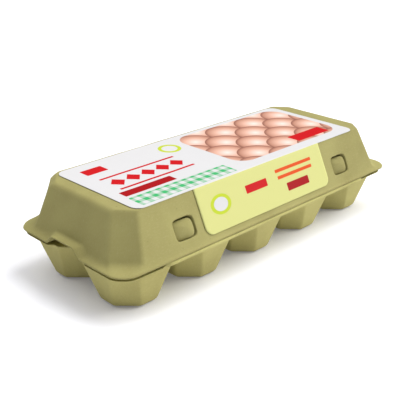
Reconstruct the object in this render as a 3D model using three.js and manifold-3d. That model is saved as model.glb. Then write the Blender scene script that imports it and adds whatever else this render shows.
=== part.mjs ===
// Egg carton of moulded pulp for two rows of five eggs, shut and latched, with a printed paper label.
// Units are millimetres. +X runs along the carton, -Y is the latch side, +Z is up.
// The origin is under the middle of the carton, on the plane that the cups' feet stand on.

import * as THREE from 'three';
import { mergeVertices } from 'three/addons/utils/BufferGeometryUtils.js';
import Module from 'manifold-3d';

const wasm = await Module();
wasm.setup();

// ---------------------------------------------------------------- driving dimensions

const cupPitch = { along: 49.5, across: 47.9 };
const cupsAlong = 5;
const cupsAcross = 2;
const cupRowsMiddle = 1.6;             // the cups sit nearer the hinge than the latch side
const cup = {
  footHalf: 17.1,                      // centre to a flat side, where the side walls would meet the floor
  footFlatHalf: 5.6,                   // half the width of a flat side there
  topHalf: 25.4,                       // the same two sizes where the cup meets the rim
  topFlatHalf: 12.9,
  top: 28.2,
  edgeRadius: 3.2,                     // round edge between foot and side walls
  cornerRadius: 4.5,                   // round upright edges
};

const rim = {                          // flat rim that the cups hang from
  underside: 27.8,
  top: 29.8,
  stripReach: 53,                      // middle to the strip that shows under the lid, front and back
  stripHalfLength: 93,
  stripTaper: 4,
  sideReach: 51,                       // middle to its edge beside the strips' ends
  endReach: 127.2,                     // middle to its edge under the lid's ends
  endCut: 9,
  notchReach: 111.5,                   // middle to the inner end of the notch that stays open
};

const hinge = {                        // fold along the back that holds the lid
  halfLength: 96,
  thickness: 1.2,
  top: 32.4,
};

const lid = {
  bottom: 30.1,
  flangeTop: 31.3,                     // upper edge of the flange's lip
  crease: 32.7,                        // where the flange meets the walls
  shoulder: 57.4,                      // where the walls start to round over
  shoulderEdge: 60.3,                  // where they have rounded into the top
  top: 60.8,
  flange: { left: 129, right: 129, front: 52.5, back: 51.5 },      // reach from the middle
  flangeCut: 7,
  flangeRadius: 11,
  atCrease: { left: 124.9, right: 124.9, front: 50.7, back: 50.7 },
  atShoulder: { left: 114.3, right: 117, front: 38.9, back: 45.8 },
  cutAtCrease: [13.8, 14.2],           // flat that cuts off each upright corner, along X and Y
  cutAtShoulder: [10, 12],
  cornerRadius: 5,
  roundOver: { left: 2, right: 2, front: 0.1, back: 1.2 },
  topField: { left: 104.2, right: 106, front: 37.3, back: 42, cut: [4, 5] },
  plainWallFrom: 0.4,                  // share of the walls' height above which no notch shows
};

const arch = {                         // finger notch in the flange at both ends
  middle: 1.6,
  rise: 5.6,
  creaseShare: 0.62,                   // of the rise that the foot of the wall follows
  topHalfWidth: 10.4,
  footHalfWidth: 18,
  depth: 11,
};

const latch = {                        // rounded-square holes in the front wall
  fromMiddle: 75.1,
  height: 43.3,                        // of the hole's centre
  halfWidth: 7.85,
  halfHeight: 6.0,                     // up the slope of the wall
  radius: 2.6,
  depth: 5.5,
};

const tab = {                          // pillow-shaped tongue that fills each hole
  sideGap: 0.35,
  openGap: 0.8,                        // wider gap above the tongue and on its +X side
  floorGap: 0.3,
  crownBelowWall: 0.2,
  edgeBelowWall: 1.9,
  domeHeights: [0.5, 0.78, 0.96],      // rings of the dome, as shares of its swell
  flatCrown: 0.15,                     // share of the width that the dome leaves flat
};

const label = {
  gap: 0.3,
  thickness: 0.5,
  middle: -1.2,                        // laid a little off the centre, away from +X
  halfLength: 102.6,
  front: 37.2,
  back: 41.7,
  cornerCut: [1.5, 1.5],
  cornerRadius: 6,
  panelHalfWidth: 59.7,                // the flap that hangs down the front wall
  panelFoot: 34.5,
  panelRadius: 5.5,
};

const finish = {
  pulp: { color: 0xb3ac6b, roughness: 0.92 },
  tab: { color: 0xa39b5e, roughness: 0.92 },
  label: { color: 0xf0f1ea, roughness: 0.55 },
};

// ---------------------------------------------------------------- outlines

// Rounds every corner of a convex outline (counter-clockwise) by an arc of `steps` chords.
// A corner's radius is held to what its shorter side leaves room for.
function roundCorners(corners, radius, steps) {
  const points = [];
  corners.forEach((corner, i) => {
    const before = corners[(i + corners.length - 1) % corners.length];
    const after = corners[(i + 1) % corners.length];
    const inward = before.clone().sub(corner);
    const outward = after.clone().sub(corner);
    const room = 0.49 * Math.min(inward.length(), outward.length());
    inward.normalize();
    outward.normalize();
    const halfAngle = inward.angleTo(outward) / 2;
    const tangent = Math.min(radius / Math.tan(halfAngle), room);
    const fitted = tangent * Math.tan(halfAngle);
    const middle = inward.clone().add(outward).normalize();
    const centre = corner.clone().addScaledVector(middle, fitted / Math.sin(halfAngle));
    const start = corner.clone().addScaledVector(inward, tangent).sub(centre);
    const turn = Math.PI - 2 * halfAngle;
    for (let k = 0; k <= steps; k += 1) {
      points.push(start.clone().rotateAround(new THREE.Vector2(), (turn * k) / steps).add(centre));
    }
  });
  return points;
}

// Corners of a rectangle with its four corners cut off, counter-clockwise from the +X side.
function cutRectangle({ left, right, front, back, cut }) {
  const [cutX, cutY] = cut;
  return [
    [right, back - cutY],
    [right - cutX, back],
    [cutX - left, back],
    [-left, back - cutY],
    [-left, cutY - front],
    [cutX - left, -front],
    [right - cutX, -front],
    [right, cutY - front],
  ].map(([x, y]) => new THREE.Vector2(x, y));
}

// The same with both directions centred.
function centredCutRectangle(halfX, halfY, cut) {
  return cutRectangle({ left: halfX, right: halfX, front: halfY, back: halfY, cut });
}

// ---------------------------------------------------------------- solids

// Closed skin through rings of equal point count, lowest first, with a flat fan over each end.
function skinRings(rings) {
  const count = rings[0].length;
  const positions = rings.flat().flatMap((p) => [p.x, p.y, p.z]);
  const faces = [];
  for (let level = 0; level + 1 < rings.length; level += 1) {
    for (let i = 0; i < count; i += 1) {
      const a = level * count + i;
      const b = level * count + ((i + 1) % count);
      faces.push(a, b, b + count, a, b + count, a + count);
    }
  }
  const addCap = (ring, first, facesUp) => {
    const middle = positions.length / 3;
    const centre = ring.reduce((sum, p) => sum.add(p), new THREE.Vector3()).divideScalar(count);
    positions.push(centre.x, centre.y, centre.z);
    for (let i = 0; i < count; i += 1) {
      const a = first + i;
      const b = first + ((i + 1) % count);
      faces.push(middle, facesUp ? a : b, facesUp ? b : a);
    }
  };
  addCap(rings[0], 0, false);
  addCap(rings[rings.length - 1], (rings.length - 1) * count, true);
  const geometry = new THREE.BufferGeometry();
  geometry.setAttribute('position', new THREE.Float32BufferAttribute(positions, 3));
  geometry.setIndex(faces);
  return geometry;
}

// Upright slab of a flat outline between two heights.
function slab(outline, low, high) {
  const geometry = new THREE.ExtrudeGeometry(new THREE.Shape(outline), {
    depth: high - low,
    bevelEnabled: false,
  });
  return geometry.translate(0, 0, low);
}

function toSolid(geometry) {
  const samePoint = 1e-5;
  const bare = geometry.clone();
  bare.deleteAttribute('normal');
  bare.deleteAttribute('uv');
  const merged = mergeVertices(bare, samePoint);
  return new wasm.Manifold(new wasm.Mesh({
    numProp: 3,
    vertProperties: new Float32Array(merged.attributes.position.array),
    triVerts: new Uint32Array(merged.index.array),
  }));
}

function toGeometry(solid) {
  const mesh = solid.getMesh();
  const geometry = new THREE.BufferGeometry();
  geometry.setAttribute('position', new THREE.Float32BufferAttribute(mesh.vertProperties, 3));
  geometry.setIndex(Array.from(mesh.triVerts));
  geometry.computeVertexNormals();
  return geometry;
}

function piece(name, geometry, look) {
  const mesh = new THREE.Mesh(geometry, new THREE.MeshStandardMaterial({ ...look, metalness: 0 }));
  mesh.name = name;
  return mesh;
}

// ---------------------------------------------------------------- tray

// One cup: an eight-sided bucket that widens upwards, with a round edge round its flat foot.
function cupGeometry(centreX, centreY) {
  const edgeSteps = 4;
  const cornerSteps = 3;
  const flatShare = 0.3;                           // of the foot edge's inset that a flat side loses
  const levels = Array.from({ length: edgeSteps + 1 }, (_, k) => {
    const angle = (k / edgeSteps) * (Math.PI / 2);
    return { z: cup.edgeRadius * (1 - Math.cos(angle)), inset: cup.edgeRadius * (1 - Math.sin(angle)) };
  });
  levels.push({ z: cup.top, inset: 0 });
  const rings = levels.map(({ z, inset }) => {
    const share = z / cup.top;
    const half = THREE.MathUtils.lerp(cup.footHalf, cup.topHalf, share) - inset;
    const flatHalf = THREE.MathUtils.lerp(cup.footFlatHalf, cup.topFlatHalf, share) - inset * flatShare;
    const cut = [half - flatHalf, half - flatHalf];
    const outline = roundCorners(centredCutRectangle(half, half, cut), cup.cornerRadius, cornerSteps);
    return outline.map((p) => new THREE.Vector3(p.x + centreX, p.y + centreY, z));
  });
  return skinRings(rings);
}

// Rim outline: straight strips along the front and back, then a little drawn in round both ends,
// where it lies hidden under the lid's edge. The notch between the end cups stays open.
function rimOutline() {
  const quarter = (notchSide) => [
    [rim.notchReach, notchSide],
    [rim.endReach, notchSide],
    [rim.endReach, rim.sideReach - rim.endCut],
    [rim.endReach - rim.endCut, rim.sideReach],
    [rim.stripHalfLength + rim.stripTaper, rim.sideReach],
    [rim.stripHalfLength, rim.stripReach],
  ];
  const mirrored = (points) => points.map(([x, y]) => [-x, y]).reverse();
  const upper = quarter(arch.footHalfWidth + arch.middle);
  const lower = quarter(arch.footHalfWidth - arch.middle).map(([x, y]) => [-x, -y]);
  const outline = [...upper, ...mirrored(upper), ...lower, ...mirrored(lower)];
  return outline.map(([x, y]) => new THREE.Vector2(x, y));
}

function hingeGeometry() {
  const box = new THREE.BoxGeometry(2 * hinge.halfLength, hinge.thickness, hinge.top - rim.underside);
  return box.translate(
    0,
    rim.stripReach - hinge.thickness / 2,
    (hinge.top + rim.underside) / 2,
  );
}

function trayGeometry() {
  let solid = toSolid(slab(rimOutline(), rim.underside, rim.top));
  for (let row = 0; row < cupsAcross; row += 1) {
    for (let column = 0; column < cupsAlong; column += 1) {
      const x = (column - (cupsAlong - 1) / 2) * cupPitch.along;
      const y = (row - (cupsAcross - 1) / 2) * cupPitch.across + cupRowsMiddle;
      solid = solid.add(toSolid(cupGeometry(x, y)));
    }
  }
  return toGeometry(solid.add(toSolid(hingeGeometry())));
}

// ---------------------------------------------------------------- lid

// How far each wall stands from the middle at a height z: straight up to the shoulder, where a
// quarter round takes over.
function wallAt(z) {
  const along = (z - lid.crease) / (lid.shoulder - lid.crease);
  const round = Math.max(0, (z - lid.shoulder) / (lid.shoulderEdge - lid.shoulder));
  const inset = 1 - Math.sqrt(1 - Math.min(1, round) ** 2);
  const reach = (side) => (
    THREE.MathUtils.lerp(lid.atCrease[side], lid.atShoulder[side], along) - lid.roundOver[side] * inset
  );
  const share = Math.min(1, along);
  return {
    left: reach('left'),
    right: reach('right'),
    front: reach('front'),
    back: reach('back'),
    cut: lid.cutAtCrease.map((low, i) => THREE.MathUtils.lerp(low, lid.cutAtShoulder[i], share)),
    radius: lid.cornerRadius,
    z,
  };
}

// Height of the notch at a distance y along an end: a flat top with eased sides.
function archHeight(y) {
  const offset = Math.abs(y - arch.middle);
  const t = (arch.footHalfWidth - offset) / (arch.footHalfWidth - arch.topHalfWidth);
  return arch.rise * THREE.MathUtils.smoothstep(t, 0, 1);
}

// Adds the notch's stations to both end sides of an outline, so that every ring can follow it.
function withArchStations(outline) {
  const steps = 6;
  const width = arch.footHalfWidth - arch.topHalfWidth;
  const side = Array.from({ length: steps + 1 }, (_, k) => arch.footHalfWidth - (width * k) / steps);
  const rising = [...side.map((y) => arch.middle - y), ...side.reverse().map((y) => arch.middle + y)];
  const falling = [...rising].reverse();
  const result = [];
  outline.forEach((p, i) => {
    const next = outline[(i + 1) % outline.length];
    result.push(p);
    if (p.x === next.x && p.y * next.y < 0) {
      const stations = next.y > 0 ? rising : falling;
      stations.forEach((y) => result.push(new THREE.Vector2(p.x, y)));
    }
  });
  return result;
}

// One level of the lid. `follow` is the share of the notch's height that the level rises by, and
// with `onWall` it stays on the end walls as it rises.
function lidRing({ left, right, front, back, cut, radius, z, follow = 0, onWall = false }) {
  const cornerSteps = 4;
  const nearEnd = 1e-6;
  const snap = (x) => {
    if (x > right - nearEnd) return right;
    return x < nearEnd - left ? -left : x;
  };
  const outline = roundCorners(cutRectangle({ left, right, front, back, cut }), radius, cornerSteps)
    .map((p) => new THREE.Vector2(snap(p.x), p.y));
  return withArchStations(outline).map((p) => {
    const lift = p.x === right || p.x === -left ? follow * archHeight(p.y) : 0;
    if (!onWall || lift === 0) {
      return new THREE.Vector3(p.x, p.y, z + lift);
    }
    const lifted = wallAt(z + lift);
    return new THREE.Vector3(p.x > 0 ? lifted.right : -lifted.left, p.y, z + lift);
  });
}

function lidGeometry() {
  const corner = { cut: [lid.flangeCut, lid.flangeCut], radius: lid.flangeRadius };
  const edge = { ...lid.flange, ...corner };
  const inner = (depth) => ({
    ...corner,
    left: lid.flange.left - depth,
    right: lid.flange.right - depth,
    front: lid.flange.front - depth / 2,
    back: lid.flange.back - depth / 2,
  });
  const roofStep = 2;                              // run of the notch's inner end, from its roof down
  const roundSteps = [0.45, 0.8, 1];
  const rings = [
    { ...inner(arch.depth + roofStep), z: lid.bottom },
    { ...inner(arch.depth), z: lid.bottom, follow: 1 },
    { ...edge, z: lid.bottom, follow: 1 },
    { ...edge, z: lid.flangeTop, follow: 1 },
    { ...wallAt(lid.crease), follow: arch.creaseShare, onWall: true },
    wallAt(THREE.MathUtils.lerp(lid.crease, lid.shoulder, lid.plainWallFrom)),
    wallAt(lid.shoulder),
    ...roundSteps.map((s) => wallAt(THREE.MathUtils.lerp(lid.shoulder, lid.shoulderEdge, s))),
    { ...lid.topField, z: lid.top, radius: lid.cornerRadius },
  ];
  let solid = toSolid(skinRings(rings.map(lidRing)));
  for (const side of [-1, 1]) {
    solid = solid.subtract(toSolid(pocketGeometry(side)));
  }
  return toGeometry(solid);
}

// ---------------------------------------------------------------- latch

const frontLean = Math.atan((lid.atCrease.front - lid.atShoulder.front) / (lid.shoulder - lid.crease));

// Turns a shape drawn on the XY plane, +Z outwards, so that it lies on the front wall
// around the hole's centre.
function placeOnFrontWall(geometry, x) {
  return geometry
    .rotateX(Math.PI / 2 - frontLean)
    .translate(x, -wallAt(latch.height).front, latch.height);
}

// One level of a box with round upright edges: each corner is cut a little, then rounded.
function roundedBox(halfX, halfY, radius, z) {
  const cutShare = 0.4;
  const cornerSteps = 2;
  const cut = [radius * cutShare, radius * cutShare];
  return roundCorners(centredCutRectangle(halfX, halfY, cut), radius, cornerSteps)
    .map((p) => new THREE.Vector3(p.x, p.y, z));
}

// What the hole takes out of the wall; it stands out of the wall so that the cut goes right through.
function pocketGeometry(side) {
  const proud = 2;
  const rings = [-latch.depth, proud].map((z) => (
    roundedBox(latch.halfWidth, latch.halfHeight, latch.radius, z)
  ));
  return placeOnFrontWall(skinRings(rings), side * latch.fromMiddle);
}

// Pillow: an upright side wall, then a dome that flattens towards its crown.
function tabGeometry(side) {
  const halfX = latch.halfWidth - (tab.sideGap + tab.openGap) / 2;
  const halfY = latch.halfHeight - (tab.sideGap + tab.openGap) / 2;
  const shift = (tab.sideGap - tab.openGap) / 2;
  const foot = -latch.depth + tab.floorGap;
  const swell = tab.edgeBelowWall - tab.crownBelowWall;
  const dome = tab.domeHeights.map((height) => ({
    scale: THREE.MathUtils.lerp(tab.flatCrown, 1, Math.sqrt(1 - height ** 2)),
    z: -tab.edgeBelowWall + swell * height,
  }));
  const levels = [{ scale: 1, z: foot }, { scale: 1, z: -tab.edgeBelowWall }, ...dome];
  const rings = levels.map(({ scale, z }) => (
    roundedBox(halfX * scale, halfY * scale, latch.radius * scale, z)
  ));
  const geometry = skinRings(rings).translate(shift, shift, 0);
  return placeOnFrontWall(geometry, side * latch.fromMiddle);
}

// ---------------------------------------------------------------- label

// One sheet: the flat field over the lid's top and the flap folded down the front wall.
// The flap is cut from a bent strip, whose section runs over the fold, by its own outline.
function labelGeometry() {
  const low = lid.top + label.gap;
  const high = low + label.thickness;
  const cornerSteps = 4;
  const { halfLength, front, back, cornerCut } = label;
  const field = roundCorners(
    cutRectangle({ left: halfLength, right: halfLength, front, back, cut: cornerCut }),
    label.cornerRadius,
    cornerSteps,
  );
  const straightWall = (z) => lid.atCrease.front - Math.tan(frontLean) * (z - lid.crease);
  const inside = (z) => -straightWall(z) - label.gap / Math.cos(frontLean);
  const outside = (z) => inside(z) - label.thickness / Math.cos(frontLean);
  const overlap = 2;                               // of the strip with the field, and past the flap's foot
  const foot = label.panelFoot - overlap;
  const section = new THREE.Shape([
    new THREE.Vector2(overlap - label.front, low),
    new THREE.Vector2(inside(low), low),
    new THREE.Vector2(inside(foot), foot),
    new THREE.Vector2(outside(foot), foot),
    new THREE.Vector2(outside(high), high),
    new THREE.Vector2(overlap - label.front, high),
  ]);
  const strip = new THREE.ExtrudeGeometry(section, { depth: 2 * label.panelHalfWidth, bevelEnabled: false })
    .rotateY(Math.PI / 2)
    .rotateX(Math.PI / 2)
    .translate(-label.panelHalfWidth, 0, 0);
  const reach = (lid.top - label.panelFoot) / Math.cos(frontLean);
  const past = 10;                                 // how far the cutter stands over the fold
  const flap = roundCorners([
    new THREE.Vector2(-label.panelHalfWidth, -reach),
    new THREE.Vector2(label.panelHalfWidth, -reach),
    new THREE.Vector2(label.panelHalfWidth, past),
    new THREE.Vector2(-label.panelHalfWidth, past),
  ], label.panelRadius, cornerSteps);
  const cutter = slab(flap, -past, past)
    .rotateX(Math.PI / 2 - frontLean)
    .translate(0, inside(lid.top), lid.top);
  const flapSolid = toSolid(strip).intersect(toSolid(cutter));
  return toGeometry(toSolid(slab(field, low, high)).add(flapSolid)).translate(label.middle, 0, 0);
}

// ---------------------------------------------------------------- carton

const carton = new THREE.Group();
carton.add(piece('tray', trayGeometry(), finish.pulp));
carton.add(piece('lid', lidGeometry(), finish.pulp));
carton.add(piece('latch_tab_left', tabGeometry(-1), finish.tab));
carton.add(piece('latch_tab_right', tabGeometry(1), finish.tab));
carton.add(piece('label', labelGeometry(), finish.label));

export default carton;
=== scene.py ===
from math import atan, cos, pi, radians, sin, tan
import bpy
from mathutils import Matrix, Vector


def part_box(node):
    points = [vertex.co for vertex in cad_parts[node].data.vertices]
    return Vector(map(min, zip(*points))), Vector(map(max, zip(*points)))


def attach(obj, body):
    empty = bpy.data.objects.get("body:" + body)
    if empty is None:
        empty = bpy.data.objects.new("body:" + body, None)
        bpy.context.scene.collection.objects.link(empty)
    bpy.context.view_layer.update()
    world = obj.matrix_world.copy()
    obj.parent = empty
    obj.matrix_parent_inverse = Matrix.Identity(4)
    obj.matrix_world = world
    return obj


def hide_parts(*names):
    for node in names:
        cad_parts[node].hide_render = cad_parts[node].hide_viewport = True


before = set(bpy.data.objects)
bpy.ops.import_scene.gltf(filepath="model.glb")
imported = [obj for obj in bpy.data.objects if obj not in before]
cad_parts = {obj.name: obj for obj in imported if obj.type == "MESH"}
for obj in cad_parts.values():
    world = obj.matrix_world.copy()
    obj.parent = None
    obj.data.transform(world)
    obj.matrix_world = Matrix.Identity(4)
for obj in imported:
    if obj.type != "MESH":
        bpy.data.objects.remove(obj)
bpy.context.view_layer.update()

from types import SimpleNamespace

import bmesh
import bpy
import numpy as np
from mathutils import Vector

# A shut egg carton of moulded pulp with a printed label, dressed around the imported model.
# Lengths in the dictionaries are millimetres in the model's frame, angles are degrees.

mm = 0.001               # one millimetre, in Blender's metres
mergeWithin = 0.002      # points as close together as this become one
near = 1e-6              # a length that counts as none
scene = bpy.context.scene


# Straight mix: a where the share is 0, b where it is 1.
def lerp(a, b, share):
    return a + (b - a) * share


# 0 below 0, 1 above 1, and 3t^2 - 2t^3 between.
def smoothStep(t):
    t = np.clip(t, 0, 1)
    return t * t * (3 - 2 * t)


# 0 before the start of a span, 1 past its stop, and smoothstep between.
def passed(value, span):
    start, stop = span
    return smoothStep((value - start) / (stop - start))


# Quads between neighbours of a grid of points that is counted row by row. With wrap the last
# column meets the first.
def gridQuads(rows, columns, wrap, first=0):
    row = np.arange(rows - 1)[:, None]
    column = np.arange(columns if wrap else columns - 1)[None, :]
    after = (column + 1) % columns
    corners = [row * columns + column, row * columns + after]
    corners += [corners[1] + columns, corners[0] + columns]
    return np.stack(corners, -1).reshape(-1, 4) + first


# Triangles from one point to each side of a closed ring of points.
def fanFaces(middle, ring):
    return np.stack([np.full_like(ring, middle), ring, np.roll(ring, -1)], -1)


# Faces of a tube of closed rings: its cells, or those that are kept, and a fan at both ends to the
# two points that follow the grid's.
def tubeFaces(rows, columns, kept=True):
    count = rows * columns
    ring = np.arange(columns)
    quads = gridQuads(rows, columns, True)[np.broadcast_to(kept, (rows - 1, columns)).ravel()]
    return [quads, fanFaces(count, ring), fanFaces(count + 1, ring + count - columns)]


# cutCornerRings' straight sides, counted from the right back chamfer
sideNumber = {"leftEnd": 3, "front": 5, "rightEnd": 7}


# Rings of a rectangle whose four corners are cut off flat and then rounded. Each ring has its own
# reach to the left, right, front and back, its own radius, and cuts along X and Y that are the same
# at all corners or given for each (right back, left back, left front, right front). A corner's arc
# turns about the point that lies radius / sin(half angle) from the corner on its bisector. Returns
# the points (rings x columns x 2) and, for each column, its straight side, or -1 on an arc.
def cutCornerRings(reach, cut, radius, arcSteps, sideSteps):
    mostOfSide = 0.49        # that the arc at either end of it may take
    left, right, front, back = reach.T
    cutX, cutY = np.broadcast_to(cut.reshape(len(reach), -1, 2), (len(reach), 4, 2)).T
    x = [right, right - cutX[0], cutX[1] - left, -left, -left, cutX[2] - left, right - cutX[3], right]
    y = [back - cutY[0], back, back, back - cutY[1], cutY[2] - front, -front, -front, cutY[3] - front]
    corner = np.stack([np.stack(x, 1), np.stack(y, 1)], -1)
    toBefore = np.roll(corner, 1, 1) - corner
    toAfter = np.roll(corner, -1, 1) - corner
    lengthBefore = np.linalg.norm(toBefore, axis=-1, keepdims=True)
    lengthAfter = np.linalg.norm(toAfter, axis=-1, keepdims=True)
    unitBefore = toBefore / lengthBefore
    unitAfter = toAfter / lengthAfter
    cosine = np.clip((unitBefore * unitAfter).sum(-1, keepdims=True), -1, 1)
    halfAngle = np.arccos(cosine) / 2
    room = mostOfSide * np.minimum(lengthBefore, lengthAfter)
    tangent = np.minimum(radius[:, None, None] / np.tan(halfAngle), room)
    bisector = unitBefore + unitAfter
    bisector /= np.linalg.norm(bisector, axis=-1, keepdims=True)
    centre = corner + bisector * tangent / np.cos(halfAngle)
    start = corner + unitBefore * tangent - centre
    angle = (pi - 2 * halfAngle) * np.linspace(0, 1, arcSteps + 1)
    turnedX = start[..., :1] * np.cos(angle) - start[..., 1:] * np.sin(angle)
    turnedY = start[..., :1] * np.sin(angle) + start[..., 1:] * np.cos(angle)
    arc = centre[:, :, None] + np.stack([turnedX, turnedY], -1)
    columns, side = [], []
    for i, steps in enumerate(sideSteps):
        share = (np.arange(1, steps) / steps)[None, :, None]
        columns += [arc[:, i], lerp(arc[:, i, -1:], arc[:, (i + 1) % 8, :1], share)]
        side += [-1] * (arcSteps + 1) + [i] * (steps - 1)
    return np.concatenate(columns, 1), np.array(side)


# Rows of numbers along a broken line of levels. Each inner level is rounded by a parabola between a
# point on the stretch before it and one on the stretch after it, given as shares of those stretches.
def roundedRows(levels, soft, straightSteps, roundSteps):
    rows, last = [levels[:1]], levels[0]
    for i in range(1, len(levels)):
        enter = lerp(levels[i], levels[i - 1], soft[i][0]) if soft[i] else levels[i]
        share = (np.arange(1, straightSteps[i - 1] + 1) / straightSteps[i - 1])[:, None]
        rows.append(lerp(last, enter, share))
        last = levels[i]
        if soft[i]:
            last = lerp(levels[i], levels[i + 1], soft[i][1])
            t = (np.arange(1, roundSteps + 1) / roundSteps)[:, None]
            rows.append((1 - t) ** 2 * enter + 2 * t * (1 - t) * levels[i] + t * t * last)
    return np.concatenate(rows)


# Unevenness in waves as wide as a finger to a hand, in millimetres, for points in millimetres: twice
# the height times the mean of sines that run in seeded directions.
def unevenness(points, seed, height, waveLength, waves=9):
    shortest, longest = 0.6, 1.7               # of the wave length
    draw = np.random.default_rng(seed)
    direction = draw.normal(size=(waves, 3))
    direction /= np.linalg.norm(direction, axis=1, keepdims=True)
    length = waveLength * draw.uniform(shortest, longest, waves)
    phase = draw.uniform(0, 2 * pi, waves)
    turns = points @ (direction * (2 * pi / length)[:, None]).T + phase
    return height * np.sin(turns).mean(1) * 2


# Merges double points, turns the faces of a closed mesh outwards and shades it smooth.
def cleanMesh(mesh, closed):
    work = bmesh.new()
    work.from_mesh(mesh)
    bmesh.ops.remove_doubles(work, verts=work.verts, dist=mergeWithin * mm)
    if closed:
        bmesh.ops.recalc_face_normals(work, faces=work.faces)
    work.to_mesh(mesh)
    work.free()
    mesh.shade_smooth()


# Puts a mesh into the scene as one piece in the place of a CAD node.
def placePiece(name, node, mesh, material):
    mesh.materials.append(material)
    piece = bpy.data.objects.new(name, mesh)
    scene.collection.objects.link(piece)
    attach(piece, "root")
    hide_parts(node)
    print(name, len(mesh.polygons), "faces")
    return piece


# A closed piece of pulp from points in millimetres and blocks of faces. Points that no face uses are
# dropped; then the skin is moved along its normals by its unevenness and held inside the node's box.
def pulpPiece(name, node, points, faces, material, uneven=None):
    used = np.unique(np.concatenate([block.ravel() for block in faces]))
    renumber = np.zeros(len(points), int)
    renumber[used] = np.arange(len(used))
    polygons = [face for block in faces for face in renumber[block].tolist()]
    mesh = bpy.data.meshes.new(name)
    mesh.from_pydata((points[used] * mm).tolist(), [], polygons)
    cleanMesh(mesh, closed=True)
    if uneven:
        place = np.empty(len(mesh.vertices) * 3)
        normal = np.empty(len(mesh.vertices) * 3)
        mesh.vertices.foreach_get("co", place)
        mesh.vertices.foreach_get("normal", normal)
        place, normal = place.reshape(-1, 3), normal.reshape(-1, 3)
        place += normal * unevenness(place / mm, **uneven)[:, None] * mm
        low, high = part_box(node)
        mesh.vertices.foreach_set("co", np.clip(place, low, high).ravel())
        mesh.update()
    return placePiece(name, node, mesh, material)


# Returns three makers for a material's nodes: `add` makes a node and fills its sockets with numbers
# or links, `calc` gives the result of a Math node, and `lay` a colour laid over another by a mask.
def nodeMakers(material):
    material.use_nodes = True
    tree = material.node_tree
    tree.nodes.clear()

    def add(kind, inputs=None, **settings):
        node = tree.nodes.new(kind)
        for key, value in settings.items():
            setattr(node, key, value)
        for socket, value in (inputs or {}).items():
            if isinstance(value, bpy.types.NodeSocket):
                tree.links.new(value, node.inputs[socket])
            else:
                node.inputs[socket].default_value = value
        return node

    def calc(operation, a, b=0.0):
        return add("ShaderNodeMath", {0: a, 1: b}, operation=operation).outputs[0]

    def lay(under, mask, over):
        return add("ShaderNodeMix", {0: mask, 6: under, 7: over}, data_type="RGBA").outputs[2]

    return add, calc, lay


# Linear colour from the 0 to 255 numbers of a colour picker, by the sRGB curve.
def tone(red, green, blue):
    share = np.array([red, green, blue]) / 255
    linear = np.where(share <= 0.04045, share / 12.92, ((share + 0.055) / 1.055) ** 2.4)
    return (*linear.tolist(), 1.0)


pulpLook = {
    "dark": tone(166, 158, 98),
    "light": tone(181, 174, 110),
    "fibre": tone(196, 188, 134),
    "speck": tone(128, 120, 76),
    # the lid's and tongues' factors below the tray's make darker copies of the one pulp: painted shade
    "shade": {"tray": 1.0, "lid": 0.71, "tongue": 0.67},    # factors on these tones
    # of each noise, how many waves a metre holds, the detail and the roughness
    "patchNoise": (26, 4, 0.5),
    "fibreNoise": (620, 5, 0.65),
    "speckNoise": (430, 3, 0.6),
    "grainNoise": (240, 4, 0.6),
    # between which values of the noise a layer goes from none to all
    "patchEdge": (0.35, 0.65),
    "fibreEdge": (0.5, 0.75),
    "speckEdge": (0.69, 0.74),
    "fibreShare": 0.35,      # how strong fibres and specks show
    "speckShare": 0.4,
    "fibreTurn": (0.5, 0.2, 0.7),              # of their noise, in radians
    "fibreSqueeze": (1, 3.5, 1),
    "grainHeight": 0.05,     # of the finger-felt grain
    "fibreHeight": 0.03,
    "roughness": 0.9,
    "specular": 0.25,
}


# Moulded pulp: two close tones in soft patches, fine pale fibres, sparse dark specks, and a bump of
# grain and fibres. The shade is a factor on all its tones; below 1 it gives a darker copy, painted shade.
def pulpMaterial(name, shade):
    look = pulpLook
    material = bpy.data.materials.new(name)
    add, calc, lay = nodeMakers(material)
    place = add("ShaderNodeTexCoord").outputs["Object"]
    squeeze = {"Vector": place, "Rotation": look["fibreTurn"], "Scale": look["fibreSqueeze"]}
    squeezed = add("ShaderNodeMapping", squeeze).outputs[0]

    def noise(kind, vector=place):
        scale, detail, roughness = look[kind]
        inputs = {"Vector": vector, "Scale": scale, "Detail": detail, "Roughness": roughness}
        return add("ShaderNodeTexNoise", inputs).outputs["Fac"]

    def ramp(value, edge):
        inputs = {"Value": value, "From Min": edge[0], "From Max": edge[1]}
        return add("ShaderNodeMapRange", inputs).outputs[0]

    def shaded(colour):
        return (*[channel * shade for channel in look[colour][:3]], 1.0)

    fibres = noise("fibreNoise", squeezed)
    fibreMask = calc("MULTIPLY", ramp(fibres, look["fibreEdge"]), look["fibreShare"])
    speckMask = calc("MULTIPLY", ramp(noise("speckNoise"), look["speckEdge"]), look["speckShare"])
    colour = lay(shaded("dark"), ramp(noise("patchNoise"), look["patchEdge"]), shaded("light"))
    colour = lay(colour, fibreMask, shaded("fibre"))
    colour = lay(colour, speckMask, shaded("speck"))
    grain = {"Height": noise("grainNoise"), "Distance": look["grainHeight"] * mm}
    bump = {"Height": fibres, "Distance": look["fibreHeight"] * mm}
    bump["Normal"] = add("ShaderNodeBump", grain).outputs[0]
    shader = add("ShaderNodeBsdfPrincipled", {
        "Base Color": colour,
        "Roughness": look["roughness"],
        "Specular IOR Level": look["specular"],
        "Normal": add("ShaderNodeBump", bump).outputs[0],
    })
    add("ShaderNodeOutputMaterial", {"Surface": shader.outputs[0]})
    print(name, "mixed")
    return material


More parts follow.
